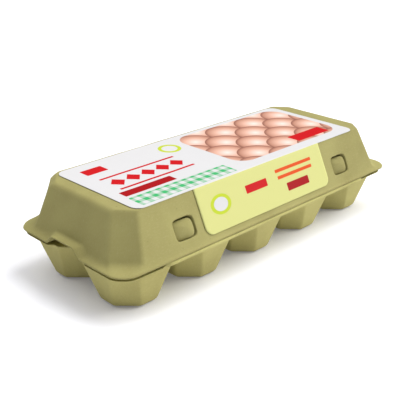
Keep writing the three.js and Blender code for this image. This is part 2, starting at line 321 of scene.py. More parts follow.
lid = {
    "bottom": 30.1,
    "flangeTop": 31.3,       # upper edge of the flange's lip
    "crease": 32.7,          # where the flange meets the walls
    "notchGone": 42.6,       # height on the walls where the notch no longer shows
    "shoulder": 57.4,
    "wallEnd": 60.6,         # where the walls' line would meet the top
    "top": 60.8,
    "flange": [129, 129, 52.5, 51.5],          # reach to the left, right, front and back
    "atCrease": [124.9, 124.9, 50.7, 50.7],
    "atShoulder": [114.3, 117, 38.9, 45.8],
    "backAtWallEnd": 44.3,   # less than the wall's line gives, for a rounder shoulder
    "topField": [104.2, 108.5, 37.3, 41.9],
    "flangeCut": [7, 7],     # off the corners, along X and Y
    "cutAtCrease": [13.8, 14.2],
    "cutAtShoulder": [10, 12],
    "topCut": [4, 5],
    # how much more the left back corner is cut: at the crease, shoulder, wall's end and top
    "moreBackCut": [1.0, 0.4, 3.0, 3.0],
    "moreFlangeCut": 0.6,    # and the flange there
    "flangeRadius": 11,
    "cornerRadius": 4,
    "pocketDepth": [11, 11, 5.5, 5.5],         # how far in the underside follows the notch
    "pocketEnd": 1.2,        # times as far in it is flat
    "topInner": {"share": 0.5, "cut": [2, 2.5], "radius": 3},    # a ring halfway in on the top
    "notch": {"middle": 1.6, "rise": 5.6, "topHalf": 10.4, "footHalf": 18},
    "notchSpread": [-1.2, 1.4],                # added to its half width at the lip and the crease
    "creaseShare": 0.62,     # of the notch's rise that the crease follows
    # of each level, the shares of the stretches before and after it that its rounding takes
    "soft": [
        None, None, (0.055, 0.45), (0.45, 0.16), (0.6, 0.28), None, None, (0.95, 0.31), (0.5, 0.05), None,
    ],
    "rowSteps": [1, 3, 1, 3, 7, 15, 1, 3, 5],  # from each level to the next
    "roundSteps": 6,
    "columns": {"arc": 6, "chamfer": 10, "back": 110, "end": 76, "front": 240},
    "uneven": {"seed": 11, "height": 0.09, "waveLength": 34},
}

latch = {
    "fromMiddle": 75.1,
    "height": 43.3,          # of the hole's centre
    "half": [8.1, 6.6],      # along the carton and up the slope of the wall
    "squareness": 5.0,       # exponent of the hole's outline: 2 is an ellipse, more is squarer
    "clear": 1.9,            # width of the wall round it that is drawn with the hole
    "flatShares": [0.35, 0.7],                 # rings on that wall, from its edge to the hole's lip
    # from the wall into the hole: how far out from the outline, and how deep
    "lip": [(0.75, 0), (0.5, 0.03), (0.27, 0.13), (0.1, 0.32), (0.0, 0.6), (-0.03, 0.95)],
    "pocket": [(-0.08, 2.2), (-0.15, 4.2), (-0.35, 5.0), (-0.9, 5.4), (-2.0, 5.5)],
}


# One level of the walls, as a row of height, reach, cuts, radius, more cut at the back, lift, slide
# and spread: a straight line through crease and shoulder.
def wallLevel(z, lift=0.0, spread=0.0):
    along = (z - lid["crease"]) / (lid["shoulder"] - lid["crease"])
    reach = lerp(np.array(lid["atCrease"]), np.array(lid["atShoulder"]), along)
    cut = lerp(np.array(lid["cutAtCrease"]), np.array(lid["cutAtShoulder"]), along)
    moreBack = lerp(*lid["moreBackCut"][:2], along)
    return [z, *reach, *cut, lid["cornerRadius"], moreBack, lift, 1, spread]


# The lid's levels, as such rows, from the underside over the flange and the walls to the top.
def lidLevels():
    flange = np.array(lid["flange"], float)
    depth = np.array(lid["pocketDepth"])
    around = [*lid["flangeCut"], lid["flangeRadius"], lid["moreFlangeCut"]]
    atLip, atCrease = lid["notchSpread"]
    moreAtEnd, moreOnTop = lid["moreBackCut"][2:]
    wallEnd = wallLevel(lid["wallEnd"])
    wallEnd[4] = lid["backAtWallEnd"]
    wallEnd[8] = moreAtEnd
    inner = lid["topInner"]
    innerField = np.array(lid["topField"]) * inner["share"]
    innerMore = moreOnTop * inner["share"]
    return np.array([
        [lid["bottom"], *(flange - depth * lid["pocketEnd"]), *around, 0, 0, atLip],
        [lid["bottom"], *(flange - depth), *around, 1, 0, atLip],
        [lid["bottom"], *flange, *around, 1, 0, atLip],
        [lid["flangeTop"], *flange, *around, 1, 0, atLip],
        wallLevel(lid["crease"], lid["creaseShare"], atCrease),
        wallLevel(lid["notchGone"], 0, atCrease),
        wallLevel(lid["shoulder"]),
        wallEnd,
        [lid["top"], *lid["topField"], *lid["topCut"], lid["cornerRadius"], moreOnTop, 0, 0, 0],
        [lid["top"], *innerField, *inner["cut"], inner["radius"], innerMore, 0, 0, 0],
    ], float)


# The lid's skin as a grid of rings. Where a row's lift is 1 its end sides rise with the notch, rise x
# smoothstep across the notch's sides, and slide inwards so that they stay on the leaning wall.
# Returns the grid, the height of each row without the notch, and the straight side of each column.
def lidGrid():
    notch, columns = lid["notch"], lid["columns"]
    rows = roundedRows(lidLevels(), lid["soft"], lid["rowSteps"], lid["roundSteps"])
    z, reach, radius = rows[:, 0], rows[:, 1:5], rows[:, 7]
    lift, slide, spread = rows[:, 9:10], rows[:, 10:11], rows[:, 11:12]
    atLeftBack = np.array([0, 1, 0, 0])[None, :, None]
    cut = rows[:, None, 5:7] + rows[:, 8][:, None, None] * atLeftBack
    sides = ("chamfer", "back", "chamfer", "end", "chamfer", "front", "chamfer", "end")
    flat, side = cutCornerRings(reach, cut, radius, columns["arc"], [columns[name] for name in sides])
    offset = np.abs(flat[..., 1] - notch["middle"])
    t = (notch["footHalf"] + spread - offset) / (notch["footHalf"] - notch["topHalf"])
    isEnd = np.isin(side, [sideNumber["leftEnd"], sideNumber["rightEnd"]])
    raised = lift * notch["rise"] * smoothStep(t) * isEnd
    lean = (np.array(lid["atCrease"]) - lid["atShoulder"]) / (lid["shoulder"] - lid["crease"])
    endLean = np.where(side == sideNumber["leftEnd"], lean[0], lean[1])
    x = flat[..., 0] - np.sign(flat[..., 0]) * endLean * raised * slide
    return np.stack([x, flat[..., 1], z[:, None] + raised], -1), z, side


# The front wall's angle from upright.
def frontLean():
    run = lid["atCrease"][2] - lid["atShoulder"][2]
    return atan(run / (lid["shoulder"] - lid["crease"]))


# Points on the front wall's plane, from u along the carton, v up the slope and how deep below it.
def onFrontWall(u, v, depth, middle):
    lean = frontLean()
    z = latch["height"] + v * cos(lean) - depth * sin(lean)
    y = -wallLevel(latch["height"])[3] + v * sin(lean) + depth * cos(lean)
    return np.stack(np.broadcast_arrays(middle + u, y, z), -1)


# Distance from the middle to the outline |u/a|^n + |v/b|^n = 1 along each angle.
def outlineRadius(angle, halfX, halfY, squareness):
    a = np.abs(np.cos(angle) / halfX) ** squareness
    b = np.abs(np.sin(angle) / halfY) ** squareness
    return (a + b) ** (-1 / squareness)


# The patch of wall round a latch hole: rings that pass from the square of cells taken out of the
# wall to the hole's outline, over its rounded lip and down to the pocket's floor.
def holePatch(edge, middle, firstIndex, edgeIndex):
    halfX, halfY = latch["half"]
    angle = np.arctan2((edge[:, 2] - latch["height"]) / cos(frontLean()), edge[:, 0] - middle)
    steps = latch["lip"] + latch["pocket"]
    hole = []
    for out, depth in steps:
        radius = outlineRadius(angle, halfX + out, halfY + out, latch["squareness"])
        hole.append(onFrontWall(radius * np.cos(angle), radius * np.sin(angle), depth, middle))
    rings = [lerp(edge, hole[0], share) for share in latch["flatShares"]] + hole
    floor = onFrontWall(0.0, 0.0, steps[-1][1], middle)[None]
    count = len(edge)
    ring = np.arange(count) + firstIndex
    joined = np.stack([edgeIndex, np.roll(edgeIndex, -1), np.roll(ring, -1), ring], -1)
    last = ring + (len(rings) - 1) * count
    faces = [gridQuads(len(rings), count, True, firstIndex), joined, fanFaces(last[-1] + 1, last)]
    return np.concatenate(rings + [floor]), faces


# The lid: the cells of its skin but those round the two latch holes, a patch for each hole, and fans
# to a point in the middle of the underside and of the top.
def buildLid(material):
    grid, z, side = lidGrid()
    rowCount, columnCount = grid.shape[:2]
    index = np.arange(rowCount * columnCount).reshape(rowCount, columnCount)
    kept = np.ones((rowCount - 1, columnCount), bool)
    points, patches = [grid.reshape(-1, 3)], []
    front = np.flatnonzero(side == sideNumber["front"])
    wall = np.flatnonzero((z > lid["crease"]) & (z < lid["shoulder"]))
    atHole = grid[np.argmin(np.abs(z - latch["height"]))]
    reachUp = (latch["half"][1] + latch["clear"]) * cos(frontLean())
    low, high = wall[np.abs(z[wall] - latch["height"]) < reachUp][[0, -1]]
    for middle in (-latch["fromMiddle"], latch["fromMiddle"]):
        isNear = np.abs(atHole[front, 0] - middle) < latch["half"][0] + latch["clear"]
        left, right = front[isNear][[0, -1]]
        kept[low:high, left:right] = False
        below, above = index[low, left:right], index[high, right:left:-1]
        edgeIndex = np.concatenate([below, index[low:high, right], above, index[high:low:-1, left]])
        patch, patchFaces = holePatch(points[0][edgeIndex], middle, sum(map(len, points)), edgeIndex)
        points.append(patch)
        patches += patchFaces
    total = sum(map(len, points))
    points.append(np.array([[0, 0, lid["bottom"]], [0, 0, lid["top"]]], float))
    quads = gridQuads(rowCount, columnCount, True)[kept.ravel()]
    faces = [quads, *patches, fanFaces(total, index[0]), fanFaces(total + 1, index[-1])]
    return pulpPiece("lid_shell", "lid", np.concatenate(points), faces, material, lid["uneven"])


tongue = {
    "gap": 0.35,             # to the hole's lower edge and -X side
    "openGap": 1.05,         # to its upper edge and +X side
    "crown": 0.05,           # how deep the crown lies below the wall
    "crownShift": 2.4,       # of the crown, towards +X
    "edge": [3.4, 0.9],      # depth of the edge at the -X and +X sides
    "swell": [1.5, 0.85],    # the two exponents of the pillow's section
    "sideWall": 1.2,         # height of the side wall below the edge
    "foot": 5.2,             # depth of the foot
    "footEdge": {"height": 0.4, "share": 0.98},
    "squareness": 4.0,
    "columns": 72,
    "rows": 16,
}


# A pillow: rings of the squared outline round a crown off its middle, with the height (1 - s^a)^b of
# the swell at the share s of the outline, then a short side wall and a flat foot.
def buildTongue(name, node, middle, material):
    halfX = latch["half"][0] - (tongue["gap"] + tongue["openGap"]) / 2
    halfY = latch["half"][1] - (tongue["gap"] + tongue["openGap"]) / 2
    shift = (tongue["gap"] - tongue["openGap"]) / 2
    angle = np.linspace(0, 2 * pi, tongue["columns"], endpoint=False)
    radius = outlineRadius(angle, halfX, halfY, tongue["squareness"])
    share = np.sin(np.linspace(0, pi / 2, tongue["rows"] + 1)[1:])[:, None]
    edge = lerp(*tongue["edge"], (1 + np.cos(angle)) / 2)
    inner, outer = tongue["swell"]
    dome = lerp(edge, tongue["crown"], np.clip(1 - share ** inner, 0, 1) ** outer)
    foot = np.full((2, len(angle)), tongue["foot"]) - [[tongue["footEdge"]["height"]], [0.0]]
    depth = np.concatenate([dome, edge[None] + tongue["sideWall"], foot])
    share = np.append(share, [1.0, 1.0, tongue["footEdge"]["share"]])[:, None]
    u = shift + tongue["crownShift"] * (1 - share) + share * radius * np.cos(angle)
    v = shift + share * radius * np.sin(angle)
    grid = onFrontWall(u, v, depth, middle).reshape(-1, 3)
    endU = shift + np.array([tongue["crownShift"], 0])
    ends = onFrontWall(endU, shift, np.array([tongue["crown"], tongue["foot"]]), middle)
    faces = tubeFaces(len(share), len(angle))
    return pulpPiece(name, node, np.concatenate([grid, ends]), faces, material)


tray = {
    "pitch": [49.5, 47.9],   # from cup to cup, along and across
    "columns": 5,
    "rowsMiddle": 1.6,       # Y of the line between the two rows
    "footHalf": 17.1,
    "footFlatHalf": 5.6,     # half length of the walls that face along and across
    "topHalf": 25.4,
    "topFlatHalf": 12.9,
    "topAt": 28.2,           # height at which the walls have the top's sizes
    "footEdge": 3.2,         # round edge between foot and walls
    "footShrink": 0.3,       # of its inset, what the flat walls lose at each end
    "cornerRadius": 3.2,
    "moreBackCut": 2.7,      # off the outer back corner of the end cups
    "webGap": 0.1,           # between two cups' walls where the web that joins them starts
    "fillet": [5.0, 2.5],    # under the strips along the sides, and under the ends' rim
    "filletMost": 0.9,       # of the shelf beyond the wall, what it may take
    "rimUnder": [27.8, 27.1],                  # along the sides and round the ends
    "rimTop": [29.8, 27.9],
    "rimDrop": [94, 97],     # distance from the carton's middle where it steps down between them
    "stripReach": 53.0,      # of the strips along front and back
    "endReach": [127.2, 51.0],                 # of the rim round both ends, along and across
    "endCut": 8,
    "endRadius": 10,
    # past an end cup's middle, towards the carton's end
    "stripGone": [-5.2, -3.2],                 # where the strips pass into the rim round the end
    "webGone": [7, 12],      # where the cells' edge between the rows does
    "dipGone": [9, 13],      # and where the rim no longer dips between the rows
    "notchSides": [14.5, 18.5],                # distance from the rows' middle: rim gone, rim whole
    "notchDepth": [108, 111.5],                # from the carton's middle: rim whole, rim gone
    "notchTop": [26.2, 28.1],                  # the front and back end cups' edge in the notch
    "notchBlend": [-5, 11],  # from the rows' middle, where one passes into the other
    "notchEdge": 1.0,        # its thickness
    "lip": 0.6,              # radius of the rim's outer edges
    "lipShelf": 3.0,         # width of the shelf at which the lower one is whole
    "lipMost": 0.45,         # of the rim's thickness, what the upper one may take
    "footShares": [0.35, 0.7],                 # rings inside the foot
    "topShares": [0.93, 0.85, 0.65, 0.4, 0.18],
    # rows in each part, and columns on a corner's arc and on chamfers and flat walls by turns
    "steps": {"foot": 5, "wall": 8, "fillet": 7, "lip": 3, "arc": 5, "sides": [10, 20] * 4},
    "uneven": {"seed": 5, "height": 0.07, "waveLength": 26},
}

cellReach = np.array(tray["pitch"]) / 2
chamferMiddle = (tray["topHalf"] + tray["topFlatHalf"]) / 2


# 1 in the notch between the end cups, 0 where the rim is whole.
def inNotch(y):
    return 1 - passed(np.abs(y - tray["rowsMiddle"]), tray["notchSides"])


# Height of the end cups' edge in the notch.
def notchTop(y):
    return lerp(*tray["notchTop"], passed(y - tray["rowsMiddle"], tray["notchBlend"]))


# Height of the tray's top, which steps down from the sides' rim to the ends' and into the notch.
def trayTop(place):
    fromMiddle = np.abs(place[..., 0])
    rimTop = lerp(*tray["rimTop"], passed(fromMiddle, tray["rimDrop"]))
    share = passed(fromMiddle, tray["notchDepth"]) * inNotch(place[..., 1])
    return lerp(rimTop, notchTop(place[..., 1]), share)


# Points from a ring's X and Y and a height, the same for all or one for each.
def atHeight(ring, z):
    return np.concatenate([ring, np.broadcast_to(z, len(ring))[:, None]], 1)


# Rings of a cup's eight walls: the half width and the half length of the flat walls are straight
# lines over the height z, less the inset, and the chamfers take what is left.
def cupRings(z, inset, moreCut):
    half = lerp(tray["footHalf"], tray["topHalf"], z / tray["topAt"]) - inset
    flatHalf = lerp(tray["footFlatHalf"], tray["topFlatHalf"], z / tray["topAt"])
    flatHalf = flatHalf - inset * tray["footShrink"]
    cut = np.repeat((half - flatHalf)[:, None, None] + moreCut, 2, 2)
    radius = np.full(len(z), tray["cornerRadius"])
    reach = np.stack([half] * 4, 1)
    return cutCornerRings(reach, cut, radius, tray["steps"]["arc"], tray["steps"]["sides"])[0]


# One cup: the middle of its cell, which end of the carton it stands at (-1, 1, or 0 for none), which
# way the carton's middle is, its walls' rings at the foot and at the top, which columns face out to
# front or back, how far they lie in the notch, and the height of the edge there.
def cupShape(column, row):
    cup = SimpleNamespace(row=row)
    cup.centre = np.array([2 * column - tray["columns"] + 1, 2 * row - 1]) * cellReach
    cup.centre[1] += tray["rowsMiddle"]
    cup.endSide = {0: -1, tray["columns"] - 1: 1}.get(column, 0)
    cup.middleSide = 1 if row == 0 else -1
    cup.moreCut = np.zeros((4, 1))
    if cup.endSide and row == 1:
        cup.moreCut[0 if cup.endSide > 0 else 1] = tray["moreBackCut"]
    cup.foot, cup.top = cupRings(np.array([0, tray["topAt"]], float), np.zeros(2), cup.moreCut)
    cup.isOutside = cup.top[:, 1] * cup.middleSide < 0
    cup.notched = inNotch(cup.top[:, 1] + cup.centre[1])
    cup.edgeTop = notchTop(cup.top[:, 1] + cup.centre[1])
    return cup


# Points on a cup's walls, on the straight lines from foot to top.
def onCupWall(cup, z):
    z = np.broadcast_to(z, len(cup.top))[:, None]
    return np.concatenate([cup.foot + (cup.top - cup.foot) * (z / tray["topAt"]), z], 1)


# The edge of a cup's cell, whose points lie at clip(ring / chamfer middle) x cell reach, out to the
# strips. By a growing share an end cup has an edge of its own there: the rim round the carton's end,
# or its own wall in the notch. Returns the edge and that share.
def cellEdge(cup):
    outward = np.array([cellReach[0], tray["stripReach"] - abs(cup.centre[1])])
    reach = np.where(cup.isOutside[:, None], outward, cellReach)
    edge = np.clip(cup.top / chamferMiddle, -1, 1) * reach
    if not cup.endSide:
        return edge, np.zeros(len(edge))
    reach = np.full((1, 4), tray["topHalf"])
    reach[0, :2], reach[0, 2 + cup.row] = np.array(tray["endReach"]) - np.abs(cup.centre)
    cut = np.full((1, 2), tray["endCut"])
    radius = np.full(1, tray["endRadius"])
    rim = cutCornerRings(reach, cut, radius, tray["steps"]["arc"], tray["steps"]["sides"])[0][0]
    own = lerp(rim, onCupWall(cup, cup.edgeTop)[:, :2], cup.notched[:, None])
    own[:, 1] = cup.middleSide * np.minimum(own[:, 1] * cup.middleSide, cellReach[1])
    span = np.where(cup.isOutside[:, None], tray["stripGone"], tray["webGone"]).T
    gone = passed(cup.endSide * cup.top[:, 0], span)
    return lerp(edge, own, gone[:, None]), gone


# Which steps from a column to the next run along the carton's outside, which columns such a step
# touches, and which of these meet the other row. All other steps meet the next cup's cell.
def outsideOf(cup, edge):
    onSide = np.abs(np.abs(edge[:, 0]) - cellReach[0]) < near
    onSide &= np.sign(edge[:, 0]) != cup.endSide
    onMiddle = edge[:, 1] * cup.middleSide > cellReach[1] - near
    bothSide = onSide & np.roll(onSide, -1) & (edge[:, 0] * np.roll(edge[:, 0], -1) > 0)
    outerStep = ~(bothSide | (onMiddle & np.roll(onMiddle, -1)))
    outer = outerStep | np.roll(outerStep, 1)
    return outerStep, outer, onMiddle & outer


# Unit directions inwards from the edge: along Y at the strips, square to the edge round the carton's
# end, and along X where the two rows meet.
def inwardFrom(cup, edge, gone, meetsRow):
    along = np.roll(edge, -1, 0) - np.roll(edge, 1, 0)
    inward = np.stack([-along[:, 1], along[:, 0]], 1)
    inward /= np.linalg.norm(inward, axis=1, keepdims=True)
    inward = lerp(np.array([0, cup.middleSide]), inward, gone[:, None])
    inward /= np.linalg.norm(inward, axis=1, keepdims=True)
    inward[meetsRow] = [-cup.endSide, 0]
    return inward


# Height of the rim's underside. Two cups' walls meet in a web, from which it rises to the rim by
# smoothstep over half the chamfer; in the notch it lies below the cup's edge.
def underRim(cup, gone):
    widening = tray["topHalf"] - tray["footHalf"]
    webAt = tray["topAt"] * (cellReach - tray["webGap"] - tray["footHalf"]) / widening
    onWeb = 1 - passed(np.abs(cup.top), (tray["topFlatHalf"], chamferMiddle))
    facesSide = np.abs(cup.top[:, 0]) > np.abs(cup.top[:, 1])
    sideDip = onWeb[:, 1] * (facesSide & (np.sign(cup.top[:, 0]) != cup.endSide))
    dipLeft = 1 - passed(cup.endSide * cup.top[:, 0], tray["dipGone"])
    middleDip = onWeb[:, 0] * (~facesSide & ~cup.isOutside) * dipLeft
    rimUnder = lerp(*tray["rimUnder"], gone)
    under = rimUnder - (np.stack([sideDip, middleDip], 1) * (rimUnder[:, None] - webAt)).sum(1)
    return lerp(under, cup.edgeTop - tray["notchEdge"], gone * cup.notched)


# Rows from the foot out over its round edge, up the walls and through a parabola to the cell's edge.
# Where the next cup is, the parabola's bend is held inside the cell. Also returns the tuck, by which
# the last row is drawn in to leave room for the lip.
def wallRows(cup, edge, gone, under, inward, outer):
    steps = tray["steps"]
    turn = np.linspace(0, pi / 2, steps["foot"] + 1)
    footZ = tray["footEdge"] * (1 - np.cos(turn))
    footRings = cupRings(footZ, tray["footEdge"] * (1 - np.sin(turn)), cup.moreCut)
    rows = [atHeight(footRings[0] * share, 0.0) for share in tray["footShares"]]
    rows += [atHeight(ring, z) for ring, z in zip(footRings, footZ)]
    fillet = lerp(*tray["fillet"], gone)
    enterZ = under - fillet
    for share in np.linspace(0, 1, steps["wall"] + 1)[1:]:
        rows.append(onCupWall(cup, lerp(tray["footEdge"], enterZ, share)))
    bend = onCupWall(cup, under)
    bound = cellReach - tray["webGap"]
    inCell = np.clip(bend[:, 0], -bound[0], bound[0])
    bend[:, 0] = np.where(np.sign(cup.top[:, 0]) == cup.endSide, bend[:, 0], inCell)
    bend[:, 1] = cup.middleSide * np.minimum(bend[:, 1] * cup.middleSide, bound[1])
    shelf = np.linalg.norm(edge - bend[:, :2], axis=1)
    tuck = np.where(outer, tray["lip"] * np.clip(shelf / tray["lipShelf"], 0, 1), 0)
    rimEdge = atHeight(edge + inward * tuck[:, None], under)
    taken = np.minimum(fillet / np.maximum(shelf, near), tray["filletMost"])
    leave = lerp(bend, rimEdge, taken[:, None])
    enter = onCupWall(cup, enterZ)
    for t in np.linspace(0, 1, steps["fillet"] + 1)[1:]:
        rows.append((1 - t) ** 2 * enter + 2 * t * (1 - t) * bend + t * t * leave)
    return rows + [lerp(leave, rimEdge, 0.5), rimEdge], tuck


# Rows from the rim's lower edge to its upper edge, each a quarter round that is drawn in by its tuck.
def lipRows(edge, inward, outer, tuck, under, upper):
    turn = np.linspace(0, pi / 2, tray["steps"]["lip"] + 1)
    rows = []
    for angle in turn[1:]:
        ring = edge + inward * (tuck * (1 - sin(angle)))[:, None]
        rows.append(atHeight(ring, under + tuck * (1 - cos(angle))))
    topTuck = np.where(outer, np.minimum(tray["lip"], tray["lipMost"] * (upper - under)), 0)
    for angle in turn:
        ring = edge + inward * (topTuck * (1 - cos(angle)))[:, None]
        rows.append(atHeight(ring, upper - topTuck * (1 - sin(angle))))
    return rows


# One cup with its share of the rim: rows from the foot's centre over walls and lip to the rim's top
# and back to the middle. Only steps on the carton's outside get the lip; elsewhere the points of the
# next cup's cell meet these.
def cupPatch(column, row):
    cup = cupShape(column, row)
    edge, gone = cellEdge(cup)
    outerStep, outer, meetsRow = outsideOf(cup, edge)
    inward = inwardFrom(cup, edge, gone, meetsRow)
    under = underRim(cup, gone)
    rows, tuck = wallRows(cup, edge, gone, under, inward, outer)
    lipStart = len(rows) - 1
    rows += lipRows(edge, inward, outer, tuck, under, trayTop(edge + cup.centre))
    lipEnd = len(rows) - 1
    for share in tray["topShares"]:
        ring = rows[lipEnd][:, :2] * share
        rows.append(atHeight(ring, trayTop(ring + cup.centre)))
    grid = np.stack(rows)
    grid[..., :2] += cup.centre
    kept = np.ones((len(rows) - 1, len(edge)), bool)
    kept[lipStart:lipEnd, ~outerStep] = False
    ends = np.array([[*cup.centre, 0.0], [*cup.centre, trayTop(cup.centre)]])
    return np.concatenate([grid.reshape(-1, 3), ends]), tubeFaces(len(rows), len(edge), kept)


# The tray: all cups, whose cells merge edge to edge.
def buildTray(material):
    points, faces, total = [], [], 0
    for row in range(2):
        for column in range(tray["columns"]):
            patch, patchFaces = cupPatch(column, row)
            points.append(patch)
            faces += [block + total for block in patchFaces]
            total += len(patch)
    return pulpPiece("tray_cups", "tray", np.concatenate(points), faces, material, tray["uneven"])


fold = {
    "halfLength": 96,
    "low": 27.9,
    "high": 32.4,
    "outside": 53.0,         # reach to the back
    "thickness": 1.3,
    "taper": 3.0,            # length over which each end runs out
    "rows": 159,
    "columns": 24,
}


# The fold along the back that holds the lid: a flattened round bead, its section an ellipse that
# shrinks to a point at each end as sqrt(1 - t^2).
def buildFold(material):
    x = fold["halfLength"] * np.sin(np.linspace(-pi / 2, pi / 2, fold["rows"] + 2)[1:-1])
    t = np.clip((np.abs(x) - (fold["halfLength"] - fold["taper"])) / fold["taper"], 0, 1)
    scale = np.sqrt(1 - t ** 2)[:, None]
    angle = np.linspace(0, 2 * pi, fold["columns"], endpoint=False)
    halfHeight = (fold["high"] - fold["low"]) / 2
    halfDepth = fold["thickness"] / 2
    middle = np.array([fold["outside"] - halfDepth, (fold["high"] + fold["low"]) / 2])
    y = middle[0] + scale * halfDepth * np.cos(angle)
    z = middle[1] + scale * halfHeight * np.sin(angle)
    grid = np.stack(np.broadcast_arrays(x[:, None], y, z), -1).reshape(-1, 3)
    tips = np.array([[-fold["halfLength"], *middle], [fold["halfLength"], *middle]])
    faces = tubeFaces(len(x), len(angle))
    return pulpPiece("tray_fold", "tray", np.concatenate([grid, tips]), faces, material)


label = {
    "middle": -1.2,
    "halfLength": 102.6,
    "depth": 78.9,           # of the field on top, from the fold to the back edge
    "cornerRadius": 6.5,
    "flapHalf": 59.7,
    "flapFoot": 34.5,        # height of the flap's lower edge
    "flapRadius": 5.5,
    "top": 61.3,             # height of the printed face
    "offWall": 0.5,          # of the flap's printed face
    "foldRadius": 1.0,
    "thickness": 0.22,
    "rowStep": 1.6,
    "rows": {"edge": 10, "frontEdge": 12, "fold": 9},    # in the corners' radii and over the fold
    "columns": {"middle": 81, "side": 31},
    "leastRow": 0.05,        # least distance from the fold to the next row behind it
    "uvUnit": 100,           # millimetres to one unit of the sheet's UV
    "uneven": {"seed": 3, "height": 0.05, "waveLength": 38},
}


# Half length lost within a radius r of an edge: r - sqrt(r^2 - (r - d)^2) at the distance d.
def edgeLoss(distance, radius):
    short = np.clip(radius - distance, 0, radius)
    return radius - np.sqrt(radius ** 2 - short ** 2)


# Distances of rows in the corner's radius from the edge: r (1 - cos) of even angles.
def edgeRows(radius, count):
    return radius * (1 - np.cos(np.linspace(0, pi / 2, count)))


# Distances of rows from an edge to a length: those in the corner's radius, then even ones.
def gradedRows(length, radius):
    atEdge = edgeRows(radius, label["rows"]["edge"])
    count = max(2, round((length - atEdge[-1]) / label["rowStep"]))
    return np.concatenate([atEdge, np.linspace(atEdge[-1], length, count)[1:]])


# The label's fold: the wall's lean, the bend, how long it is on either side of the fold's line, that
# line's Y, and the flap's length down the slope.
def labelFold():
    lean = frontLean()
    bend = pi / 2 - lean
    wall = lid["atCrease"][2] - tan(lean) * (label["top"] - lid["crease"])
    return SimpleNamespace(
        lean=lean,
        bend=bend,
        half=label["foldRadius"] * tan(bend / 2),
        y=-(wall + label["offWall"] / cos(lean)),
        flapLength=(label["top"] - label["flapFoot"]) / cos(lean),
    )


# The sheet's rows, as distances v from the fold, back over the top and negative down the flap.
def labelRows(crease):
    onFlap = -crease.flapLength + gradedRows(crease.flapLength - crease.half, label["flapRadius"])
    overFold = np.linspace(-crease.half, crease.half, label["rows"]["fold"])[1:]
    frontEdge = edgeRows(label["cornerRadius"], label["rows"]["frontEdge"])
    onTop = gradedRows(label["depth"] - frontEdge[-1], label["cornerRadius"])
    frontEdge = frontEdge[frontEdge > crease.half + label["leastRow"]]
    return np.concatenate([onFlap, overFold, frontEdge, label["depth"] - onTop[::-1][1:]])


# Y and Z of the rows: on the top plane for v > 0 and down the front wall for v < 0, with an arc
# between them that turns evenly over the fold.
def labelSection(crease, v):
    angle = crease.bend * (1 - np.clip((v + crease.half) / (2 * crease.half), 0, 1))
    radius = label["foldRadius"]
    arcY = crease.y + crease.half - radius * np.sin(angle)
    arcZ = label["top"] - radius * (1 - np.cos(angle))
    down = np.minimum(v + crease.half, 0)
    y = arcY + np.maximum(v - crease.half, 0) + down * sin(crease.lean)
    return y, arcZ + down * cos(crease.lean)


# One printed sheet in three blocks of columns: flap and field over the flap's length, and the field
# on either side of it, each row shorter by edgeLoss near a round corner. Its thickness goes inwards.
def buildLabel(material):
    crease = labelFold()
    v = labelRows(crease)
    y, z = labelSection(crease, v)
    fromEdge = np.minimum(v, label["depth"] - v)
    fieldHalf = label["halfLength"] - edgeLoss(fromEdge, label["cornerRadius"])
    flapHalf = label["flapHalf"] - edgeLoss(v + crease.flapLength, label["flapRadius"])
    middleShare = np.linspace(-1, 1, label["columns"]["middle"])
    middleX = np.where(v < 0, flapHalf, label["flapHalf"])[:, None] * middleShare
    sideShare = np.sin(np.linspace(0, pi / 2, label["columns"]["side"]))
    sideX = lerp(label["flapHalf"], fieldHalf[:, None], sideShare)
    onField = v >= -near
    points, sheet, faces, total = [], [], [], 0
    for x, shown in ((middleX, np.ones(len(v), bool)), (sideX, onField), (-sideX[:, ::-1], onField)):
        u = x[shown] + label["middle"]
        grid = np.stack(np.broadcast_arrays(u, y[shown][:, None], z[shown][:, None]), -1)
        place = np.stack(np.broadcast_arrays(u, v[shown][:, None]), -1)
        faces.append(gridQuads(len(u), u.shape[1], False, total))
        points.append(grid.reshape(-1, 3))
        sheet.append(place.reshape(-1, 2))
        total += u.size
    points = np.concatenate(points)
    points[:, 2] += unevenness(points, **label["uneven"])
    sheet = np.concatenate(sheet) / label["uvUnit"]
    mesh = bpy.data.meshes.new("label_sheet")
    mesh.from_pydata((points * mm).tolist(), [], np.concatenate(faces).tolist())
    corner = np.empty(len(mesh.loops), int)
    mesh.loops.foreach_get("vertex_index", corner)
    mesh.uv_layers.new(name="sheet").uv.foreach_set("vector", sheet[corner].ravel())
    cleanMesh(mesh, closed=False)
    piece = placePiece("label_sheet", "label", mesh, material)
    paper = piece.modifiers.new("paper", "SOLIDIFY")
    paper.thickness = label["thickness"] * mm
    paper.offset = -1
    return piece


